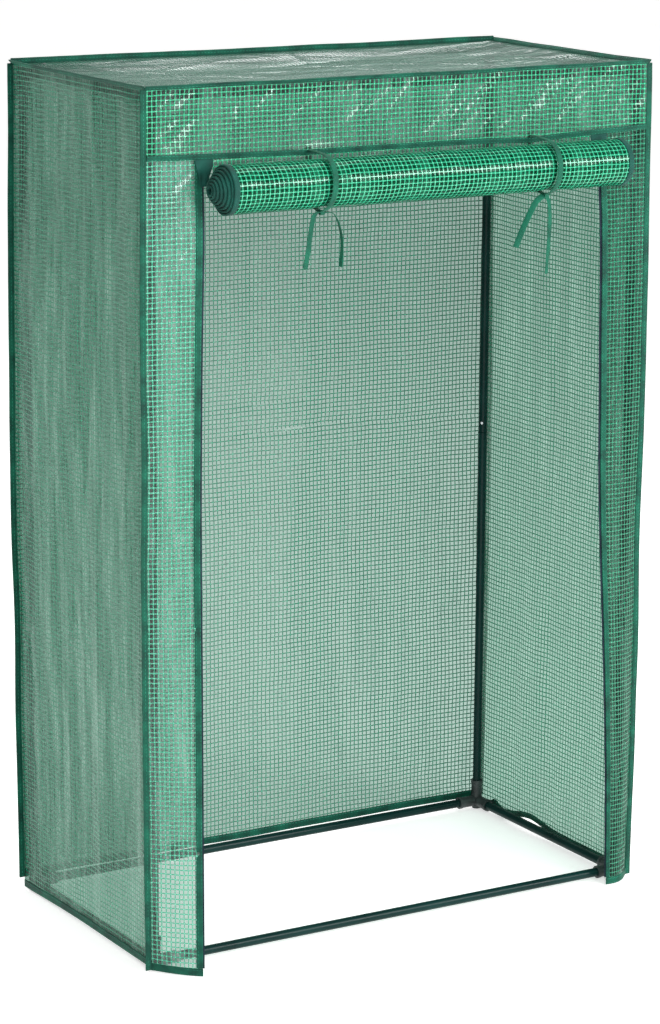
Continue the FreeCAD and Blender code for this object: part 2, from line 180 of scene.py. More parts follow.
def new_material(name):
    material = bpy.data.materials.new(name)
    material.use_nodes = True
    material.node_tree.nodes.clear()
    return material, material.node_tree


def finish_material(tree, shader):
    add_node(tree, "ShaderNodeOutputMaterial", {"Surface": shader})


def ramp(tree, source, stops):
    """Blends colours along a number: the stops are (place, hex colour)."""
    node = add_node(tree, "ShaderNodeValToRGB", {"Fac": source})
    elements = node.color_ramp.elements
    while len(elements) < len(stops):
        elements.new(0.5)
    for element, (place, code) in zip(elements, stops):
        element.position = place
        element.color = colour(code)
    return node.outputs["Color"]


GRID_PITCH = 8.5 * MM
THREAD_WIDTH = 2.1 * MM
STRAY = 2.4 * MM  # how far threads wander from a straight line
# Lit and shaded copies of the threads' colours: the first is painted light for panels lit from the
# front, the second is painted shade for panels lit from behind.
PAINTED_LIT_YARN = ("#056246", "#129468", "#5fcda6")
PAINTED_SHADE_YARN = ("#01382a", "#086048", "#2f9877")


def grid_film(
    name, axes, use_map=False, tint=("#9fb4ad", "#86a299", "#b6c9c3"), yarn=PAINTED_LIT_YARN, milk=0.18
):
    """Reinforced polyethylene film: clear, slightly milky film laminated over a green scrim.

    The eye sees dark or bright squares, whatever lies behind them, between glossy green threads.
    tint is the colour that the film lets through, and the darkest and lightest of its haze;
    yarn holds the threads' dark, middle and light colours, and milk is the haze's share.
    The panels' copies of this one film differ in tint, yarn and milk as painted light and shade.
    The film is whiter in long streaks, mostly along the second axis: this is partly stress
    whitening and partly a painted sheen of its pleats.
    """
    material, tree = new_material(name)
    coordinates = add_node(tree, "ShaderNodeTexCoord")
    source = coordinates.outputs["Object"]
    if use_map:
        source = add_node(tree, "ShaderNodeUVMap", uv_map="cloth").outputs["UV"]
    stray = add_node(
        tree, "ShaderNodeTexNoise", {"Vector": source}, {"Scale": 22.0, "Detail": 1.0}
    )
    bend = add_node(
        tree,
        "ShaderNodeVectorMath",
        {0: stray.outputs["Color"]},
        {1: (STRAY,) * 3},
        operation="MULTIPLY",
    )
    bent = add_node(
        tree, "ShaderNodeVectorMath", {0: source, 1: bend.outputs[0]}, operation="ADD"
    )
    split = add_node(tree, "ShaderNodeSeparateXYZ", {"Vector": bent.outputs[0]})
    wear = add_node(
        tree, "ShaderNodeTexNoise", {"Vector": source}, {"Scale": 160.0, "Detail": 2.0}
    ).outputs["Fac"]
    masks, ridges = [], []
    for axis in axes:
        cell = maths(tree, "FRACT", maths(tree, "DIVIDE", split.outputs[axis], GRID_PITCH))
        away = maths(tree, "ABSOLUTE", maths(tree, "SUBTRACT", cell, 0.5))
        half = THREAD_WIDTH / GRID_PITCH / 2
        edge = maths(tree, "MULTIPLY_ADD", wear, 0.10, half - 0.05)
        mask = add_node(
            tree,
            "ShaderNodeMapRange",
            {"Value": maths(tree, "SUBTRACT", away, edge)},
            {"From Min": -0.03, "From Max": 0.03, "To Min": 1.0, "To Max": 0.0},
            interpolation_type="SMOOTHSTEP",
        ).outputs["Result"]
        masks.append(mask)
        ridges.append(maths(tree, "SUBTRACT", 0.5, away))
    threads = maths(tree, "MAXIMUM", *masks)
    crossing = maths(tree, "MULTIPLY", *masks)

    # Threads: flat glossy yarns, brighter where two lie on each other.
    tone = add_node(
        tree, "ShaderNodeTexNoise", {"Vector": source}, {"Scale": 420.0, "Detail": 2.0}
    ).outputs["Fac"]
    thread_tone = maths(tree, "MULTIPLY_ADD", crossing, 0.25, tone)
    thread_colour = ramp(tree, thread_tone, tuple(zip((0.25, 0.55, 0.95), yarn)))
    film_colour = ramp(tree, wear, ((0.3, tint[1]), (0.7, tint[2])))
    # Mix has one Factor, A and B for each data type: a colour's are sockets 0, 6 and 7.
    shade = add_node(
        tree, "ShaderNodeMix", {0: threads, 6: film_colour, 7: thread_colour}, data_type="RGBA"
    )
    surface = shade.outputs[2]

    # Crinkles from folding and handling, finer than the mesh holds.
    crinkle = add_node(
        tree,
        "ShaderNodeTexNoise",
        {"Vector": source},
        {"Scale": 45.0, "Detail": 3.0, "Roughness": 0.6},
    ).outputs["Fac"]
    height = maths(tree, "MULTIPLY_ADD", threads, 0.22, crinkle)
    bump = add_node(
        tree, "ShaderNodeBump", {"Height": height}, {"Strength": 0.55, "Distance": 1.6 * MM}
    ).outputs["Normal"]
    body = add_node(
        tree,
        "ShaderNodeBsdfPrincipled",
        {"Base Color": surface, "Normal": bump},
        {"Roughness": 0.18, "IOR": 1.51},
    )
    glow = add_node(tree, "ShaderNodeBsdfTranslucent", {"Color": surface, "Normal": bump})
    # The film scatters light onwards, and the threads stop most of it.
    onwards = maths(tree, "MULTIPLY_ADD", threads, -0.62, 0.76)
    haze = add_node(
        tree, "ShaderNodeMixShader", {0: onwards, 1: body.outputs[0], 2: glow.outputs[0]}
    )
    clear = add_node(tree, "ShaderNodeBsdfTransparent", values={"Color": colour(tint[0])})
    gloss = add_node(
        tree, "ShaderNodeLayerWeight", {"Normal": bump}, {"Blend": 0.22}
    ).outputs["Facing"]
    # Whiter haze in long noise streaks: partly stress whitening, partly painted sheen of the
    # pleats.
    slow = tuple(0.11 if axis == axes[1] else 1.0 for axis in ("X", "Y", "Z"))
    drawn = add_node(
        tree, "ShaderNodeVectorMath", {0: bent.outputs[0]}, {1: slow}, operation="MULTIPLY"
    )
    streaks_whitening_and_sheen = add_node(
        tree,
        "ShaderNodeTexNoise",
        {"Vector": drawn.outputs[0]},
        {"Scale": 34.0, "Detail": 4.0, "Roughness": 0.62},
    ).outputs["Fac"]
    white = add_node(
        tree,
        "ShaderNodeMapRange",
        {"Value": streaks_whitening_and_sheen},
        {"From Min": 0.42, "From Max": 0.70, "To Min": milk * 0.45, "To Max": milk + 0.30},
        interpolation_type="SMOOTHSTEP",
    ).outputs["Result"]
    hold = maths(tree, "MULTIPLY_ADD", gloss, 0.45, white)
    opacity = maths(tree, "MAXIMUM", maths(tree, "MULTIPLY", threads, 0.93), hold)
    mix = add_node(
        tree, "ShaderNodeMixShader", {0: opacity, 1: clear.outputs[0], 2: haze.outputs[0]}
    )
    finish_material(tree, mix.outputs[0])
    return material


def woven_tape(name, dark, light, rough=0.62):
    """Woven polypropylene tape: a matt ribbed ribbon with a slight sheen on its yarns."""
    material, tree = new_material(name)
    source = add_node(tree, "ShaderNodeTexCoord").outputs["Object"]
    split = add_node(tree, "ShaderNodeSeparateXYZ", {"Vector": source})
    rib = 1.3 * MM  # a real rib is half as wide, too fine to show
    waves = []
    for axis in ("X", "Y", "Z"):
        turn = maths(tree, "MULTIPLY", split.outputs[axis], 2 * math.pi / rib)
        waves.append(maths(tree, "SINE", turn))
    weave = maths(tree, "MULTIPLY", maths(tree, "ADD", waves[0], waves[1]), waves[2])
    patch = add_node(
        tree, "ShaderNodeTexNoise", {"Vector": source}, {"Scale": 35.0, "Detail": 4.0}
    ).outputs["Fac"]
    tone = maths(tree, "MULTIPLY_ADD", weave, 0.10, patch)
    shade = ramp(tree, tone, ((0.30, dark), (0.72, light)))
    bump = add_node(
        tree, "ShaderNodeBump", {"Height": weave}, {"Strength": 0.4, "Distance": 0.25 * MM}
    )
    body = add_node(
        tree,
        "ShaderNodeBsdfPrincipled",
        {"Base Color": shade, "Normal": bump.outputs["Normal"]},
        {
            "Roughness": rough,
            "Specular IOR Level": 0.18,
            "Sheen Weight": 0.05,
            "Sheen Roughness": 0.5,
        },
    )
    finish_material(tree, body.outputs[0])
    return material


def painted_steel():
    """Powder-coated steel tube: a dark green skin, fairly glossy, with faint orange peel."""
    material, tree = new_material("powder_coated_steel")
    source = add_node(tree, "ShaderNodeTexCoord").outputs["Object"]
    peel = add_node(
        tree, "ShaderNodeTexNoise", {"Vector": source}, {"Scale": 900.0, "Detail": 1.0}
    ).outputs["Fac"]
    dirt = add_node(
        tree, "ShaderNodeTexNoise", {"Vector": source}, {"Scale": 14.0, "Detail": 5.0}
    ).outputs["Fac"]
    shade = ramp(tree, dirt, ((0.35, "#03211f"), (0.7, "#062c29")))
    rough = maths(tree, "MULTIPLY_ADD", dirt, 0.25, 0.18)
    bump = add_node(
        tree, "ShaderNodeBump", {"Height": peel}, {"Strength": 0.15, "Distance": 0.1 * MM}
    )
    body = add_node(
        tree,
        "ShaderNodeBsdfPrincipled",
        {"Base Color": shade, "Roughness": rough, "Normal": bump.outputs["Normal"]},
        {"IOR": 1.5, "Specular IOR Level": 0.14},
    )
    finish_material(tree, body.outputs[0])
    return material


def moulded_plastic():
    """Moulded polypropylene: dark grey with a fine spark-eroded grain, a little scuffed."""
    material, tree = new_material("moulded_polypropylene")
    source = add_node(tree, "ShaderNodeTexCoord").outputs["Object"]
    grain = add_node(
        tree, "ShaderNodeTexNoise", {"Vector": source}, {"Scale": 1400.0, "Detail": 2.0}
    ).outputs["Fac"]
    scuff = add_node(
        tree, "ShaderNodeTexNoise", {"Vector": source}, {"Scale": 60.0, "Detail": 6.0}
    ).outputs["Fac"]
    shade = ramp(tree, scuff, ((0.35, "#1e2525"), (0.75, "#3a4242")))
    rough = maths(tree, "MULTIPLY_ADD", scuff, 0.2, 0.38)
    bump = add_node(
        tree, "ShaderNodeBump", {"Height": grain}, {"Strength": 0.25, "Distance": 0.1 * MM}
    )
    body = add_node(
        tree,
        "ShaderNodeBsdfPrincipled",
        {"Base Color": shade, "Roughness": rough, "Normal": bump.outputs["Normal"]},
        {"IOR": 1.49},
    )
    finish_material(tree, body.outputs[0])
    return material


def zinc_plate():
    """Zinc-plated spring steel: a bright, slightly brushed bluish metal."""
    material, tree = new_material("zinc_plated_steel")
    source = add_node(tree, "ShaderNodeTexCoord").outputs["Object"]
    brush = add_node(
        tree, "ShaderNodeTexNoise", {"Vector": source}, {"Scale": 700.0, "Detail": 3.0}
    ).outputs["Fac"]
    shade = ramp(tree, brush, ((0.3, "#aeb4b8"), (0.7, "#d3d7d9")))
    rough = maths(tree, "MULTIPLY_ADD", brush, 0.2, 0.2)
    body = add_node(
        tree,
        "ShaderNodeBsdfPrincipled",
        {"Base Color": shade, "Roughness": rough},
        {"Metallic": 1.0},
    )
    finish_material(tree, body.outputs[0])
    return material


# The front's copy of the film takes the lit threads and a larger haze share: painted light.
FILM_XZ_PAINTED_LIGHT = grid_film("reinforced_polyethylene_front", ("X", "Z"), milk=0.30)
# The side panels' copy of the film is darker in its clear colour and threads: painted shade.
FILM_YZ_PAINTED_SHADE = grid_film(
    "reinforced_polyethylene_side",
    ("Y", "Z"),
    tint=("#7f9d91", "#7fa594", "#b9d6ca"),
    yarn=("#02402f", "#0a7053", "#3cab86"),
)
# The roof's copy of the film takes the shaded threads: painted shade.
FILM_XY_PAINTED_SHADE = grid_film("reinforced_polyethylene_roof", ("Y", "X"), yarn=PAINTED_SHADE_YARN)
# The back panel's copy of the film is darker in its clear colour and threads: painted shade of a
# panel lit from behind.
FILM_BACK_PAINTED_SHADE = grid_film(
    "reinforced_polyethylene_back",
    ("X", "Z"),
    tint=("#94a9a1", "#74968a", "#a9c0b7"),
    yarn=PAINTED_SHADE_YARN,
)
# The two strips are the same film: the left strip's copy is painted lighter and milkier as painted
# light, and the right strip's copy is painted darker as painted shade.
FILM_LEFT_PAINTED_LIGHT = grid_film(
    "reinforced_polyethylene_left_strip",
    ("X", "Y"),
    use_map=True,
    tint=("#b9c8c2", "#a8c4b9", "#e0ebe6"),
    yarn=("#15684f", "#2c9a79", "#86d0b8"),
    milk=0.38,
)
FILM_RIGHT_PAINTED_SHADE = grid_film(
    "reinforced_polyethylene_right_strip",
    ("X", "Y"),
    use_map=True,
    tint=("#6f8a80", "#4f7c6d", "#9dbfb2"),
    yarn=("#02402f", "#0a6e50", "#45b38d"),
)
# Many layers of the same film lie under each other in the roll. This copy has its clear colour and
# haze painted dark green as painted shade of those layers, and its threads painted brighter as
# painted light.
FILM_ROLL_PAINTED_LIGHT_AND_SHADE = grid_film(
    "reinforced_polyethylene_roll",
    ("X", "Y"),
    use_map=True,
    tint=("#3a7a60", "#0b7352", "#45b18c"),
    yarn=("#07714f", "#16a276", "#74d6b4"),
    milk=0.50,
)
BINDING = woven_tape("woven_polypropylene_binding", "#002f26", "#035742")
SIDE_TAPE = woven_tape("woven_polypropylene_door_tape", "#02302a", "#084c41")
LOOP_TAPE = woven_tape("hook_and_loop_nylon", "#0a1420", "#1c2b36", rough=0.85)
TIE_TAPE = woven_tape("woven_polypropylene_tie", "#023f30", "#066048")
STITCH = woven_tape("polyester_sewing_thread", "#0d7a5f", "#3a9c82", rough=0.4)
STEEL = painted_steel()
PLASTIC = moulded_plastic()
ZINC = zinc_plate()

# ---------------------------------------------------------------- how the cover hangs


def clamp(number, bottom=0.0, top=1.0):
    return max(bottom, min(top, number))


def fade(number):
    number = clamp(number)
    return number * number * (3 - 2 * number)


# The right side's hem is lifted off its tube at two places: (y, half width).
HEM_LIFT = 15 * MM
HEM_LIFTS = ((0.115, 0.055), (0.235, 0.018))
# How far the left (-1) and right (1) strips' free edges hang out at the hem: sideways,
# forwards, and the bow between edge and corner.
STRIP_HANG = {-1: (36 * MM, 62 * MM, 5 * MM), 1: (41 * MM, 22 * MM, 12 * MM)}
# The ties pull the front seam down where they are sewn to it.
TIE_PULLS = (("left_tie_front", 2 * MM), ("right_tie_front", 7 * MM))
SEAM_SAG, TIE_REACH = 5 * MM, 110 * MM
SEAM_FADE, EDGE_FADE = 70 * MM, 60 * MM
FRONT_ZONE = FRONT_Y + 8 * MM  # what is nearer than this belongs to the front


def seam_sag(x):
    """How far the front seam hangs down: it sags, most where the ties are sewn to it."""
    sag = SEAM_SAG * (1 - (x / HALF_X) ** 2)
    for tie, pull in TIE_PULLS:
        sag += pull * math.exp(-abs(x - middle(tie).x) / TIE_REACH)
    return sag * fade((HALF_X - abs(x)) / EDGE_FADE)


def drape(point):
    """Where a point of the trim, straight cover comes to lie on the frame.

    All of the cover's pieces share it, so that tapes and film stay together.
    """
    x, y, z = point
    across, along = x / HALF_X, (y - MID_Y) / HALF_Y
    height = clamp(z / ROOF_Z)
    belly = math.sin(math.pi * height)
    sway = noise.noise(Vector((x * 2.3, y * 2.3 + 4, z * 3.1)))
    wave = noise.noise(Vector((x * 5.0 + 9, y * 5.0, z * 6.0)))
    out = Vector((0, 0, 0))
    loose = 4 * MM + 4 * MM * sway + 1.5 * MM * wave
    out.x = math.copysign(abs(across) ** 3, across) * belly * loose
    out.y = math.copysign(abs(along) ** 3, along) * belly * loose * 0.6
    # Hems aren't quite level.
    hem = math.exp(-max(0.0, z - STRIP_HEM) / (90 * MM))
    ends = fade((1 - max(abs(across), abs(along) * 0.98)) * 8 + 0.2)
    ripple = noise.noise(Vector((x * 7.0, y * 7.0, 2.5)))
    back = fade(along)
    out.z = hem * (ripple * (3 + 3 * back) * (0.3 + 0.7 * ends) - back * (7 + 2 * across)) * MM
    if z > 0:
        out.z = max(out.z, 1 * MM - z)
    if across > 0.9:
        for place, half in HEM_LIFTS:
            out.z += hem * HEM_LIFT * math.exp(-(((y - place) / half) ** 2))
    # The front strips hang by their seams: their free edges swing outwards and bow forwards.
    if y < FRONT_ZONE and abs(x) > RIGHT_EDGE - 30 * MM and z < SEAM_Z:
        free = clamp((HALF_X - abs(x)) / (HALF_X - RIGHT_EDGE), top=1.3)
        fall = (SEAM_Z - z) / (SEAM_Z - STRIP_HEM)
        side = -1 if x < 0 else 1
        swing, flare, bow = (reach * fall for reach in STRIP_HANG[side])
        out.x += free * swing * side
        out.y -= free * flare + math.sin(math.pi * min(1, free)) * bow
        out.z -= free * 4 * MM * fall**8
        slack = math.sin(z * 7.5 + (0.4 if x < 0 else 1.9))
        out.y += free * slack * 2.2 * MM * clamp((SEAM_Z - z) / 0.15)
        out.x += free * math.sin(z * 5.1 + 1.2) * 2.5 * MM * clamp((SEAM_Z - z) / 0.15)
    # The roof's edges sink a little between the corners.
    if z > ROOF_Z - EDGE_FADE:
        near = fade((z - ROOF_Z + EDGE_FADE) / EDGE_FADE)
        sag = (1 - min(1, across * across)) * 1.4 + (1 - min(1, along * along)) * 1.4
        out.z -= near * sag * MM
        out.z += near * 1.2 * MM * noise.noise(Vector((x * 9, y * 9, 1.7)))
    if y < FRONT_ZONE and abs(z - SEAM_Z) < SEAM_FADE:
        out.z -= seam_sag(x) * fade(1 - abs(z - SEAM_Z) / SEAM_FADE)
    return Vector(point) + out


def crease_lines(seed, count, width, height, angles, lengths, strengths, halves=(3.5 * MM, 8 * MM)):
    """Random creases on a panel: (start, direction, length, strength, half width)."""
    dice = random.Random(seed)
    lines = []
    for _ in range(count):
        start = Vector((dice.uniform(0, width), dice.uniform(0, height)))
        angle = math.radians(dice.uniform(*angles))
        way = Vector((math.cos(angle), math.sin(angle)))
        length = dice.uniform(*lengths)
        strength = dice.uniform(*strengths) * dice.choice((-1, 1))
        lines.append((start, way, length, strength, dice.uniform(*halves)))
    return lines


def crease_height(spot, lines):
    """How far creases lift a spot of a panel."""
    total = 0.0
    for start, way, length, strength, half in lines:
        gap = spot - start
        along = gap.dot(way)
        if not 0 < along < length:
            continue
        off = abs(gap.x * way.y - gap.y * way.x)
        if off > 4 * half:
            continue
        total += strength * math.exp(-off / half) * math.sin(math.pi * along / length)
    return total


# ---------------------------------------------------------------- modelling helpers


def only(piece):
    """Makes a piece the one that operators act on."""
    bpy.ops.object.select_all(action="DESELECT")
    piece.select_set(True)
    bpy.context.view_layer.objects.active = piece


def grid(name, columns, rows, place):
    """A grid primitive whose corners run from (0, 0) to (1, 1), each vertex put by place."""
    bpy.ops.mesh.primitive_grid_add(x_subdivisions=columns, y_subdivisions=rows, size=1)
    piece = bpy.context.object
    piece.name = name
    piece.data.name = name
    for vertex in piece.data.vertices:
        vertex.co = place(vertex.co.x + 0.5, vertex.co.y + 0.5)
    piece.data.update()
    return piece


def face_way(piece, way):
    """Turns an open sheet so that its faces look along a direction on the whole."""
    total = Vector((0, 0, 0))
    for polygon in piece.data.polygons:
        total += polygon.normal * polygon.area
    if total.dot(Vector(way)) < 0:
        piece.data.flip_normals()


def turn_outwards(piece):
    """Makes a closed piece's faces all look outwards."""
    only(piece)
    bpy.ops.object.mode_set(mode="EDIT")
    bpy.ops.mesh.select_all(action="SELECT")
    bpy.ops.mesh.normals_make_consistent(inside=False)
    bpy.ops.object.mode_set(mode="OBJECT")


def smooth(piece, angle):
    only(piece)
    bpy.ops.object.shade_smooth_by_angle(angle=math.radians(angle))


def apply_modifier(piece, kind, **settings):
    only(piece)
    modifier = piece.modifiers.new(kind.lower(), kind)
    for key, setting in settings.items():
        setattr(modifier, key, setting)
    bpy.ops.object.modifier_apply(modifier=modifier.name)


def give(piece, material, body, slot, *nodes):
    """The piece's material, the body it rides on and the CAD nodes that it stands for."""
    if not piece.data.materials:
        piece.data.materials.append(material)
    if body:
        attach(piece, body)
    if nodes:
        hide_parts(*nodes)
    return piece


def ribbon(name, length_steps, place, thickness, width_steps=3, edge=0.45):
    """A tape: a strip of grid given a thickness and rounded edges.

    place(across, along) gives the middle surface, both from 0 to 1.
    """
    piece = grid(name, width_steps, length_steps, place)
    apply_modifier(piece, "SOLIDIFY", thickness=thickness, offset=0, use_even_offset=True)
    turn_outwards(piece)
    apply_modifier(
        piece,
        "BEVEL",
        width=thickness * edge,
        segments=2,
        limit_method="ANGLE",
        angle_limit=math.radians(50),
    )
    smooth(piece, 50)
    return piece


STITCH_PITCH, STITCH_LENGTH, STITCH_WIDTH = 6.5 * MM, 3.6 * MM, 0.9 * MM


def stitches(piece, start, end, side, facing):
    """A row of stitches on a tape: short six-sided beads of thread that follow the drape."""
    bpy.ops.mesh.primitive_cylinder_add(vertices=6, radius=0.5, depth=1, end_fill_type="TRIFAN")
    bead = bpy.context.object
    corners = [v.co.copy() for v in bead.data.vertices]
    faces = [list(p.vertices) for p in bead.data.polygons]
    bpy.data.objects.remove(bead)
    span = end - start
    count = int(span.length / STITCH_PITCH)
    way = span.normalized()
    points, polygons = [], []
    for index in range(count):
        centre = start + way * STITCH_PITCH * (index + 0.5)
        first = len(points)
        for corner in corners:
            width = STITCH_WIDTH * (1 - 0.9 * abs(corner.z))
            local = way * corner.z * STITCH_LENGTH + (side * corner.x + facing * corner.y) * width
            points.append(drape(centre + local))
        polygons += [[first + i for i in face] for face in faces]
    mesh = bpy.data.meshes.new(f"{piece}_stitches")
    mesh.from_pydata(points, [], polygons)
    row = bpy.data.objects.new(mesh.name, mesh)
    bpy.context.scene.collection.objects.link(row)
    turn_outwards(row)
    smooth(row, 60)
    return row


# ---------------------------------------------------------------- film panels


def panel(
    node, corner, side_u, side_v, outward, steps, material, ripple, creases, margin=40 * MM
):
    """One sewn film panel: a fine sheet with folds that die out towards its seams."""
    width, height = side_u.length, side_v.length
    outward = Vector(outward)

    def place(u, v):
        point = corner + side_u * u + side_v * v
        edge = min(u * width, (1 - u) * width, v * height, (1 - v) * height)
        lift = ripple(point) * fade(edge / margin)
        lift += crease_height(Vector((u * width, v * height)), creases) * fade(edge / (margin / 3))
        return drape(point) + outward * lift

    columns, rows = round(width / steps[0]), round(height / steps[1])
    sheet = grid(node, columns, rows, place)
    sheet.name = f"film_{node}"
    set_map(sheet, lambda u, v: (u * width, v * height))
    face_way(sheet, outward)
    smooth(sheet, 80)
    give(sheet, material, HOUSE, "film", node)
    return sheet


def folds(seed, across, along, size):
    """Soft folds: long noise, finer across than along."""
    broad = noise.noise(Vector((across * 9, along * 1.6, seed)))
    narrow = noise.noise(Vector((across * 26, along * 3.5, seed + 7)))
    fine = noise.noise(Vector((across * 60, along * 14, seed + 3)))
    return size * (broad + 0.35 * narrow + 0.10 * fine)


def fold_mark(distance, depth, half=9 * MM):
    """The ridge that a packed film keeps where it was folded flat."""
    return depth * math.exp(-abs(distance) / half)


def left_folds(point):
    lift = folds(1.0, point.y, point.z, 7 * MM) - 1.5 * MM
    lift += fold_mark(point.y - MID_Y + 0.06, 1.6 * MM)
    return lift + fold_mark(point.y - MID_Y - 0.09, -1.2 * MM)


def right_folds(point):
    lift = folds(5.0, point.y, point.z, 7 * MM) - 1.5 * MM
    lift += fold_mark(point.y - MID_Y - 0.02, 1.8 * MM)
    return lift + fold_mark(point.z - 0.78, 1.0 * MM)


def back_folds(point):
    lift = folds(9.0, point.x, point.z, 5 * MM)
    lift += 3 * MM * noise.noise(Vector((point.x * 2.5, 3.1, point.z * 9)))
    for level, depth in ((0.40, 2.2 * MM), (0.79, 4.5 * MM), (0.84, 3.0 * MM), (1.16, -1.6 * MM)):
        broken = 0.5 + 1.2 * noise.noise(Vector((point.x * 6, level * 40, 5.0)))
        away = point.z - level - 0.012 * math.sin(point.x * 7 + level * 9)
        lift += fold_mark(away, depth * clamp(broken), 7 * MM)
    return lift + fold_mark(point.x + 0.02, 1.4 * MM)


def roof_folds(point):
    across, along = point.x / HALF_X, (point.y - MID_Y) / HALF_Y
    sag = -13 * MM * (1 - across**4) * (1 - along * along)
    return sag + folds(13.0, point.y, point.x, 3 * MM) + fold_mark(point.x - 0.03, 1.5 * MM)


def front_folds(point):
    return folds(17.0, point.x, point.z * 2, 3.0 * MM)


def strip_folds(point):
    return folds(21.0, point.x * 1.5, point.z, 2.6 * MM)


def make_panels():
    top = ROOF_Z
    span, depth = RIGHT_X - LEFT_X, 2 * HALF_Y
    # The creases' seed, count, room, angles in degrees, lengths, strengths and half widths.
    left_marks = crease_lines(11, 40, depth, top, (78, 102), (0.15, 0.6), (0.7 * MM, 2.0 * MM))
    left_marks += crease_lines(12, 16, depth, top, (25, 155), (0.05, 0.2), (0.7 * MM, 2.0 * MM))
    right_marks = crease_lines(21, 34, depth, top, (75, 105), (0.15, 0.5), (0.6 * MM, 1.8 * MM))
    back_marks = crease_lines(31, 22, span, top, (60, 120), (0.1, 0.5), (0.4 * MM, 1.2 * MM))
    back_marks += crease_lines(32, 12, span, top, (-15, 15), (0.1, 0.4), (0.4 * MM, 1.2 * MM))
    roof_marks = crease_lines(41, 46, span, depth, (-60, 25), (0.1, 0.45), (1.0 * MM, 2.8 * MM))
    fine = (2.5 * MM, 4.5 * MM)
    room = (span, top - SEAM_Z)
    front_marks = crease_lines(54, 56, *room, (33, 50), (0.06, 0.15), (1.6 * MM, 3.4 * MM), fine)
    front_marks += crease_lines(55, 8, *room, (75, 100), (0.04, 0.09), (1.6 * MM, 3.0 * MM), fine)
    room = (0.1, SEAM_Z)
    left_strip = crease_lines(61, 14, *room, (25, 50), (0.04, 0.10), (1.2 * MM, 2.8 * MM), fine)
    right_strip = crease_lines(63, 20, *room, (60, 84), (0.08, 0.25), (1.4 * MM, 3.2 * MM), fine)
    up = Vector((0, 0, 1))
    sheets = {}
    for node, x, marks, ripple, way in (
        ("left_side_panel", LEFT_X, left_marks, left_folds, -1),
        ("right_side_panel", RIGHT_X, right_marks, right_folds, 1),
    ):
        sheets[node] = panel(
            node,
            Vector((x, FRONT_Y, SIDE_HEM)),
            Vector((0, depth, 0)),
            up * (top - SIDE_HEM),
            (way, 0, 0),
            (5 * MM, 7 * MM),
            FILM_YZ_PAINTED_SHADE,
            ripple,
            marks,
        )
    sheets["back_panel"] = panel(
        "back_panel",
        Vector((LEFT_X, BACK_Y, BACK_HEM)),
        Vector((span, 0, 0)),
        up * (top - BACK_HEM),
        (0, 1, 0),
        (7 * MM, 5 * MM),
        FILM_BACK_PAINTED_SHADE,
        back_folds,
        back_marks,
    )
    sheets["roof_panel"] = panel(
        "roof_panel",
        Vector((LEFT_X, FRONT_Y, top)),
        Vector((span, 0, 0)),
        Vector((0, depth, 0)),
        (0, 0, 1),
        (7 * MM, 5 * MM),
        FILM_XY_PAINTED_SHADE,
        roof_folds,
        roof_marks,
    )
    sheets["front_top_panel"] = panel(
        "front_top_panel",
        Vector((LEFT_X, FRONT_Y, SEAM_Z)),
        Vector((span, 0, 0)),
        up * (top - SEAM_Z),
        (0, -1, 0),
        (3 * MM, 3 * MM),
        FILM_XZ_PAINTED_LIGHT,
        front_folds,
        front_marks,
        margin=25 * MM,
    )
    for node, x, marks, film in (
        ("left_front_strip", LEFT_X, left_strip, FILM_LEFT_PAINTED_LIGHT),
        ("right_front_strip", RIGHT_EDGE, right_strip, FILM_RIGHT_PAINTED_SHADE),
    ):
        sheets[node] = panel(
            node,
            Vector((x, FRONT_Y, STRIP_HEM)),
            Vector((HALF_X - RIGHT_EDGE, 0, 0)),
            up * (SEAM_Z - STRIP_HEM),
            (0, -1, 0),
            (3 * MM, 5 * MM),
            film,
            strip_folds,
            marks,
            margin=20 * MM,
        )
    for node, sheet in sheets.items():
        size = high(node) - low(node)
    for node in ("left_front_strip", "right_front_strip"):
        lie_flat(sheets[node])


def lie_flat(piece):
    """Gives a piece of a front strip its own copy of its mesh."""
    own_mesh(piece)


# ---------------------------------------------------------------- bindings


def seam_tape(node, start, end, side, facing, width, thick, seed, sway=1.2 * MM, rows=1):
    """A binding along a seam or hem: a ribbon from start to end, its width along side."""
    name = node.replace("piping", "binding").replace("tape", "binding")
    span = end - start
    length = span.length

    def place(across, along):
        point = start + span * along
        ends = fade(along * length / (30 * MM)) * fade((1 - along) * length / (30 * MM))
        spot = Vector((seed, along * length * 9, 0.5))
        lean = noise.noise(spot) * sway * ends
        puff = noise.noise(spot * 4 + Vector((3, 0, 0))) * 0.25 * MM
        offset = side * ((across - 0.5) * (width + puff))
        return drape(point + offset + facing * (lean * (across if rows < 2 else 0.3)))

    tape = ribbon(name, max(4, round(length / (9 * MM))), place, thick)
    give(tape, BINDING, HOUSE, "binding", node)
    if "strip" in name:
        lie_flat(tape)
    rows_at = (0.0,) if rows == 1 else (-0.3 * width, 0.3 * width)
    for row, shift in enumerate(rows_at):
        for face in (-1, 1):
            lift = facing * face * (thick / 2 + 0.1 * MM)
            thread = stitches(
                f"{name}_{row}_{'front' if face > 0 else 'back'}",
                start + side * shift + lift,
                end + side * shift + lift,
                side,
                facing,
            )
            give(thread, STITCH, HOUSE, "binding")
            if "strip" in name:
                lie_flat(thread)


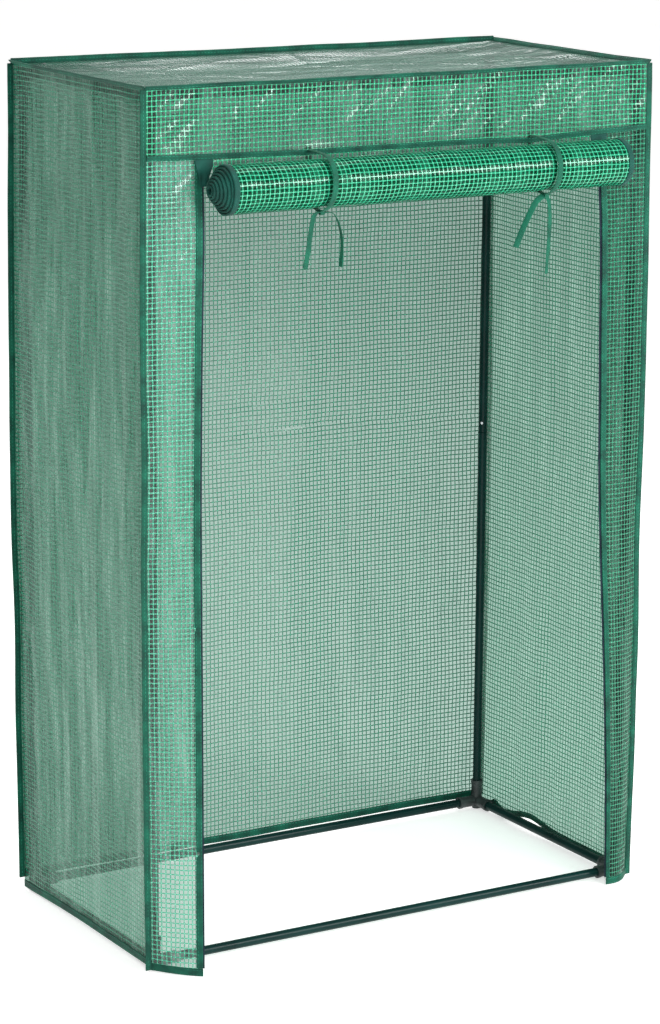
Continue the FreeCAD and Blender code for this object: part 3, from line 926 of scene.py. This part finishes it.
def make_bindings():
    X, Y, Z = Vector((1, 0, 0)), Vector((0, 1, 0)), Vector((0, 0, 1))
    reach, thick = 11 * MM, 2.2 * MM
    corners = (
        ("front_left", -1, FRONT_Y, STRIP_HEM),
        ("front_right", 1, FRONT_Y, STRIP_HEM),
        ("back_left", -1, BACK_Y, BACK_HEM),
        ("back_right", 1, BACK_Y, BACK_HEM),
    )
    for seed, (where, sign, y, bottom) in enumerate(corners, 1):
        x = sign * (HALF_X + reach / 2 - 0.5 * MM)
        start, end = Vector((x, y, bottom - 1 * MM)), Vector((x, y, ROOF_Z + 1 * MM))
        seam_tape(f"corner_piping_{where}", start, end, X * sign, Y, reach, thick, seed)
    tilt = 1 / math.sqrt(2)
    left, right, front, back = LEFT_X - 4 * MM, RIGHT_X + 4 * MM, FRONT_Y - 3 * MM, BACK_Y + 3 * MM
    for where, start, end, way, seed in (
        ("front", (left, FRONT_Y), (right, FRONT_Y), (Z - Y) * tilt, 11),
        ("back", (left, BACK_Y), (right, BACK_Y), Z, 12),
        ("left", (LEFT_X, front), (LEFT_X, back), (Z - X) * tilt, 21),
        ("right", (RIGHT_X, front), (RIGHT_X, back), (Z + X) * tilt, 22),
    ):
        start, end = (Vector((*spot, ROOF_Z)) + way * (reach * 0.42) for spot in (start, end))
        facing = (end - start).normalized().cross(way)
        seam_tape(f"roof_piping_{where}", start, end, way, facing, reach * 0.9, thick, seed)
    seam, front = middle("front_seam_piping").z, FRONT_Y - 1.6 * MM
    start, end = Vector((LEFT_X, front, seam)), Vector((RIGHT_X, front, seam))
    seam_tape("front_seam_piping", start, end, Z, Y, 9 * MM, thick, 31, rows=2)
    tape, hem_thick = 13 * MM, 2.3 * MM
    lift = tape / 2 - 1 * MM
    left_end, right_end = LEFT_EDGE + 1 * MM, RIGHT_EDGE - 1 * MM
    for seed, (node, start, end, hem, facing) in enumerate(
        (
            ("back_hem_tape", (LEFT_X, BACK_Y), (RIGHT_X, BACK_Y), BACK_HEM, Y),
            ("left_hem_tape", (LEFT_X, FRONT_Y), (LEFT_X, BACK_Y), SIDE_HEM, X),
            ("right_hem_tape", (RIGHT_X, FRONT_Y), (RIGHT_X, BACK_Y), SIDE_HEM, X),
            ("left_strip_hem_tape", (LEFT_X, FRONT_Y), (left_end, FRONT_Y), STRIP_HEM, Y),
            ("right_strip_hem_tape", (right_end, FRONT_Y), (RIGHT_X, FRONT_Y), STRIP_HEM, Y),
        ),
        41,
    ):
        start, end = Vector((*start, hem + lift)), Vector((*end, hem + lift))
        seam_tape(node, start, end, Z, facing, tape, hem_thick, seed, sway=0.3 * MM, rows=2)
    for side, edge, sign in (("left", LEFT_EDGE, 1), ("right", RIGHT_EDGE, -1)):
        node = f"{side}_strip_edge_tape"
        x = edge - sign * lift
        start, end = Vector((x, FRONT_Y, low(node).z)), Vector((x, FRONT_Y, high(node).z))
        seam_tape(node, start, end, X, Y, tape, hem_thick, sign + 51, sway=0.3 * MM, rows=2)
        node = f"{side}_fastener_tape"
        centre = middle(node)

        def place(across, along, centre=centre, node=node):
            z = low(node).z + (high(node).z - low(node).z) * along
            x = centre.x + (across - 0.5) * 18 * MM
            return drape((x, centre.y, z))

        loop = ribbon(f"{side}_hook_and_loop", 150, place, 1.4 * MM)
        give(loop, LOOP_TAPE, HOUSE, "fastener", node)
        lie_flat(loop)


# ---------------------------------------------------------------- door

TURNS = 8
CORE_R = 7 * MM
FILM_LAP = 0.9 * MM
ROLL_LENGTH = TURNS * math.pi * (CORE_R + ROLL_R)
TELESCOPE = ROLL_LEFT - low("door_left_edge_tape").x


def spiral(turned, inset=0.0):
    """A point of the rolled door in the YZ plane: turned is 0 at the back, where the flat door
    meets the roll, and 1 at the core. The roll starts down and under, towards the front."""
    angle = -2 * math.pi * TURNS * turned
    radius = ROLL_R - FILM_LAP - (ROLL_R - FILM_LAP - CORE_R) * turned - inset
    uneven = 0.9 * MM * math.sin(3 * angle + 9 * turned) * (0.25 + turned * 0.75) * (1 - turned)
    radius += uneven - 0.45 * MM * (1 - turned)
    return ROLL_Y + radius * math.cos(angle), ROLL_Z + radius * math.sin(angle)


def slip(turned):
    """How far a turn has slid to the left along the roll."""
    return -TELESCOPE * fade(turned) ** 0.8 * 0.95


def even_steps(turned):
    """Puts equal lengths of film between equal steps along the spiral."""
    outer, inner = ROLL_R, CORE_R
    length = turned * (outer + inner) / 2
    rest = max(0.0, outer * outer - 2 * (outer - inner) * length)
    return (outer - math.sqrt(rest)) / (outer - inner)


def set_map(piece, flat):
    """Gives a sheet a UV map in metres: flat(u, v) on the grid that it was made from."""
    layer = piece.data.uv_layers.active or piece.data.uv_layers.new(name="cloth")
    layer.name = "cloth"
    for datum in layer.data:
        datum.uv = flat(*datum.uv)


def make_roll():
    left, right = ROLL_LEFT + 3 * MM, ROLL_RIGHT - 3 * MM
    width = right - left

    def place(u, v):
        turned = even_steps(v)
        y, z = spiral(turned)
        x = left + width * u + slip(turned)
        crush = 1 - turned
        bump = noise.noise(Vector((x * 14, v * ROLL_LENGTH * 10, 3.0))) * 1.5 * MM * crush
        bump += noise.noise(Vector((x * 42, v * ROLL_LENGTH * 30, 8.0))) * 0.9 * MM * crush
        bump -= 1.3 * MM * crush
        dip = 0.0
        for tie in ("left_tie_front", "right_tie_front"):
            dip += 1.6 * MM * math.exp(-(((x - middle(tie).x) / (13 * MM)) ** 2))
        away = Vector((0, y - ROLL_Y, z - ROLL_Z)).normalized()
        return Vector((x, y, z)) + away * (bump - dip * (1 if turned < 2 / TURNS else 0.3))

    sheet = grid("film_door_roll", 110, 760, place)
    set_map(sheet, lambda u, v: (u * width, v * ROLL_LENGTH))
    smooth(sheet, 80)
    give(sheet, FILM_ROLL_PAINTED_LIGHT_AND_SHADE, ROLL, "film", "door_roll")
    for name, node, edge, way in (
        ("door_left_edge_binding", "door_left_edge_tape", left, 1),
        ("door_right_edge_binding", "door_right_edge_tape", right, -1),
    ):

        def place_tape(across, along, edge=edge, way=way):
            turned = even_steps(along)
            y, z = spiral(turned, inset=1.6 * MM)
            wobble = noise.noise(Vector((along * 60, edge * 9, 2.0))) * 1.0 * MM
            x = edge + way * ((across - 0.5) * 10 * MM + 2.2 * MM) + slip(turned) + wobble
            return Vector((x, y, z))

        tape = ribbon(name, 620, place_tape, 3.4 * MM, width_steps=2, edge=0.3)
        give(tape, SIDE_TAPE, ROLL, "side_tape", node)


def make_curtain():
    """The stretch of door between the seam and the roll, which draws out as the roll comes down."""
    outer = high("door_head_tapes").x
    inner = high("door_head").x
    start = Vector((0, DOOR_Y, DOOR_TOP))
    end = Vector((0, DOOR_Y, ROLL_Z))
    drop = (start - end).length
    back = ROLL_Y + ROLL_R - FILM_LAP

    def hang(x, fall):
        z = start.z - drop * fall - seam_sag(x) * (1 - fall)
        y = DOOR_Y + (back - DOOR_Y) * fade(fall)
        y += 0.8 * MM * math.sin(x * 40 + fall * 5) * (1 - fall) * fall * 4
        return Vector((x, y, z))

    film = grid("film_door_head", 150, 40, lambda u, v: hang(-inner + 2 * inner * u, 1 - v))
    face_way(film, (0, -1, 0))
    smooth(film, 80)
    give(film, FILM_XZ_PAINTED_LIGHT, None, "film", "door_head")
    tapes = []
    for name, sign, gather in (("left", -1, 0.55), ("right", 1, 0.3)):

        def place(across, along, centre=sign * (outer + inner) / 2, gather=gather):
            narrow = 1 - gather * fade(along)
            x = centre + (across - 0.5) * (outer - inner) * narrow
            point = hang(x, along)
            swell = math.sin(across * 9 + along * 3) * fade(along) * (1 - along)
            point.y -= 1.2 * MM + 5 * MM * swell
            return point

        tape = ribbon(f"door_head_tape_{name}", 40, place, 1.1 * MM, width_steps=10)
        tapes.append(give(tape, SIDE_TAPE, None, "side_tape"))
    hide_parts("door_head_tapes")
    # The top edge sags with the seam that it is sewn to.
    for piece in (film, *tapes):
        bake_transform(piece)


# ---------------------------------------------------------------- ties


def smooth_path(points, steps):
    """Evenly spaced points on the NURBS curve through a short list of control points."""
    curve = bpy.data.curves.new("path", "CURVE")
    curve.dimensions = "3D"
    spline = curve.splines.new("NURBS")
    spline.points.add(len(points) - 1)
    for knot, point in zip(spline.points, points):
        knot.co = (*point, 1)
    spline.order_u = 3
    spline.use_endpoint_u = True
    spline.resolution_u = 24
    holder = bpy.data.objects.new("path", curve)
    line = [v.co.copy() for v in bpy.data.meshes.new_from_object(holder).vertices]
    bpy.data.objects.remove(holder)
    travelled = [0.0]
    for before, after in zip(line, line[1:]):
        travelled.append(travelled[-1] + (after - before).length)
    result, index = [], 0
    for step in range(steps + 1):
        wanted = travelled[-1] * step / steps
        while index < len(line) - 2 and travelled[index + 1] < wanted:
            index += 1
        share = (wanted - travelled[index]) / max(1e-9, travelled[index + 1] - travelled[index])
        result.append(line[index].lerp(line[index + 1], clamp(share)))
    return result, travelled[-1]


def tape_along(name, points, turns, width=10 * MM, thick=1.0 * MM, spacing=2.2 * MM):
    """A tie tape along a route. turns are the tape's across directions, from start to end."""
    rough = sum((after - before).length for before, after in zip(points, points[1:]))
    line, length = smooth_path(points, max(8, round(rough / spacing)))
    count = len(line) - 1

    def place(across, along):
        index = round(along * count)
        before, after = line[max(0, index - 1)], line[min(count, index + 1)]
        way = (after - before).normalized()
        spot = along * (len(turns) - 1)
        first = min(int(spot), len(turns) - 2)
        side = Vector(turns[first]).lerp(Vector(turns[first + 1]), fade(spot - first))
        side = (side - way * side.dot(way)).normalized()
        curl = side.cross(way) * (((across - 0.5) * 2) ** 2) * 0.5 * MM
        return line[index] + side * (across - 0.5) * width + curl

    tape = ribbon(name, count, place, thick, width_steps=4)
    give(tape, TIE_TAPE, HOUSE, "tie")
    return tape, length


def around(x, reach, degrees):
    """A point at x, reach away from the roll's axis, at an angle round it."""
    angle = math.radians(degrees)
    return Vector((x, ROLL_Y + reach * math.cos(angle), ROLL_Z + reach * math.sin(angle)))


def make_tie(side, x, knot_shift, flat_tail, slim_tail):
    """A pair of tapes round the roll, with their knot and hanging ends."""
    front, back = f"{side}_tie_front", f"{side}_tie_back"
    reach = ROLL_R + 1.1 * MM
    wide = Vector((1, 0, 0))
    seam = middle("front_seam_piping").z
    knot = Vector((x + knot_shift, ROLL_Y - 2 * MM, ROLL_Z - reach - 3 * MM))
    strap = [Vector((x, FRONT_Y - out * MM, seam - 2 * MM)) for out in (2, 18)]
    for degrees in (84, 106, 128, 150, 172, 194, 216, 238, 256):
        lean = knot_shift * fade((degrees - 60) / 200)
        grip = reach / math.cos(math.radians(11)) if degrees < 256 else reach + 1 * MM
        strap.append(around(x + lean, grip, degrees))
    strap.append(knot)
    rear = [
        Vector((x, FRONT_Y + 1.5 * MM, seam + 2 * MM)),
        Vector((x, FRONT_Y + 2.5 * MM, ROLL_Z + 12 * MM)),
    ]
    for degrees in (350, 330, 310, 292, 278):
        lean = knot_shift * fade((350 - degrees) / 70)
        rear.append(around(x + lean, reach + 6 * MM * fade((degrees - 270) / 80), degrees))
    rear.append(knot + Vector((0, 2 * MM, 0)))
    pieces = []
    for word, route, node in (("strap_front", strap, front), ("strap_back", rear, back)):
        pieces.append((*tape_along(f"{side}_tie_{word}", route, (wide, wide, wide)), node))
    for word, (offsets, turns), node in (
        ("tail_front", flat_tail, front),
        ("tail_back", slim_tail, back),
    ):
        route = [knot + Vector(offset) * MM for offset in offsets]
        pieces.append((*tape_along(f"{side}_tie_{word}", route, turns), node))
    loop = []
    for degrees in range(0, 400, 30):
        angle = math.radians(degrees)
        turn = Vector((1.5 * degrees / 400, 4.6 * math.cos(angle), 4.2 * math.sin(angle)))
        loop.append(knot + turn * MM)
    tied = tape_along(f"{side}_tie_knot", loop, (wide, wide), width=9 * MM, spacing=1.2 * MM)
    pieces.append((*tied, front))
    for tape, length, node in pieces:
        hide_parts(node)
        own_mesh(tape)


def make_ties():
    make_tie(
        "left",
        middle("left_tie_front").x,
        -6 * MM,
        (
            ((-2, 0, 0), (-14, -1, -2), (-20, -4, -20), (-25, -4, -55), (-31, -3, -91)),
            ((1, 0.3, 0.2), (1, 0.15, 0), (1, 0.1, 0)),
        ),
        (
            ((3, 0, 1), (14, -1, 1), (25, -2, -3), (34, -3, -22), (41, -3, -56), (38, 0, -93)),
            ((0.5, 1, 0), (0.1, 1, 0), (-0.05, 1, 0)),
        ),
    )
    make_tie(
        "right",
        middle("right_tie_front").x,
        -2 * MM,
        (
            ((2, 0, 0), (8, -2, -8), (10, -3, -45), (6, -4, -90), (4, -3, -135)),
            ((1, 0.4, 0), (1, 0.3, 0), (1, 0.5, 0)),
        ),
        (
            ((-3, 0, 0), (-18, -3, -4), (-34, -6, -26), (-52, -8, -56), (-64, -8, -84)),
            ((0.9, -0.2, -0.2), (0.6, -0.6, -0.4), (0.75, -0.45, -0.35)),
        ),
    )


# ---------------------------------------------------------------- frame finishes and studio


def dress_frame():
    """Puts the real finishes on the frame's own nodes."""
    for name, node in frame["nodes"].items():
        if "tube" in name or "upright" in name:
            material = STEEL
        elif "corner_piping" not in name and "corner" in name:
            material = PLASTIC
        elif name == "snap_buttons":
            material = ZINC
        else:
            continue
        for item in slot_meshes(node):
            for index in range(len(item.material_slots)):
                item.material_slots[index].material = material
            if not item.material_slots:
                item.data.materials.append(material)


def slot_meshes(node):
    """A CAD node's mesh objects."""
    return [item for item in (node, *node.children_recursive) if item.type == "MESH"]


def make_studio():
    """A pale floor, a white surround and soft lamps."""
    bpy.ops.mesh.primitive_plane_add(size=40)
    floor = bpy.context.object
    floor.name = "floor"
    material, tree = new_material("pale_studio_floor")
    source = add_node(tree, "ShaderNodeTexCoord").outputs["Object"]
    cloud = add_node(tree, "ShaderNodeTexNoise", {"Vector": source}, {"Scale": 1.5}).outputs["Fac"]
    shade = ramp(tree, cloud, ((0.3, "#eeeeec"), (0.7, "#f2f2f0")))
    body = add_node(
        tree,
        "ShaderNodeBsdfPrincipled",
        {"Base Color": shade},
        {"Roughness": 0.6, "Emission Color": (1, 1, 1, 1), "Emission Strength": 0.52},
    )
    finish_material(tree, body.outputs[0])
    floor.data.materials.append(material)
    world = bpy.data.worlds.new("studio")
    world.use_nodes = True
    background = world.node_tree.nodes["Background"]
    background.inputs["Color"].default_value = (1, 1, 1, 1)
    # The surround looks white, and lights the object less than it looks.
    seen = add_node(world.node_tree, "ShaderNodeLightPath").outputs["Is Camera Ray"]
    strength = maths(world.node_tree, "MULTIPLY_ADD", seen, 0.47, 0.55)
    world.node_tree.links.new(strength, background.inputs["Strength"])
    bpy.context.scene.world = world
    target = Vector((0, MID_Y, 0.8))
    for name, place, size, power in (
        ("key", (-2.4, -4.2, 3.0), 1.3, 85),
        ("glint", (2.7, -4.0, 2.6), 1.7, 150),
        ("spark", (0.7, -4.6, 1.95), 1.3, 120),
        ("rim", (2.4, 4.0, 4.0), 1.8, 60),
        ("side", (-4.4, 3.0, 1.7), 0.8, 35),
        ("top", (0.3, 0.4, 4.0), 2.2, 60),
    ):
        data = bpy.data.lights.new(name, "AREA")
        data.size = size
        data.energy = power
        lamp = bpy.data.objects.new(name, data)
        lamp.location = place
        lamp.visible_camera = False
        lamp.rotation_euler = (target - Vector(place)).to_track_quat("-Z", "Y").to_euler()
        bpy.context.scene.collection.objects.link(lamp)
    bpy.context.scene.view_settings.view_transform = "Standard"


make_panels()
make_bindings()
make_roll()
make_curtain()
make_ties()
dress_frame()
make_studio()
bpy.ops.object.select_all(action="DESELECT")
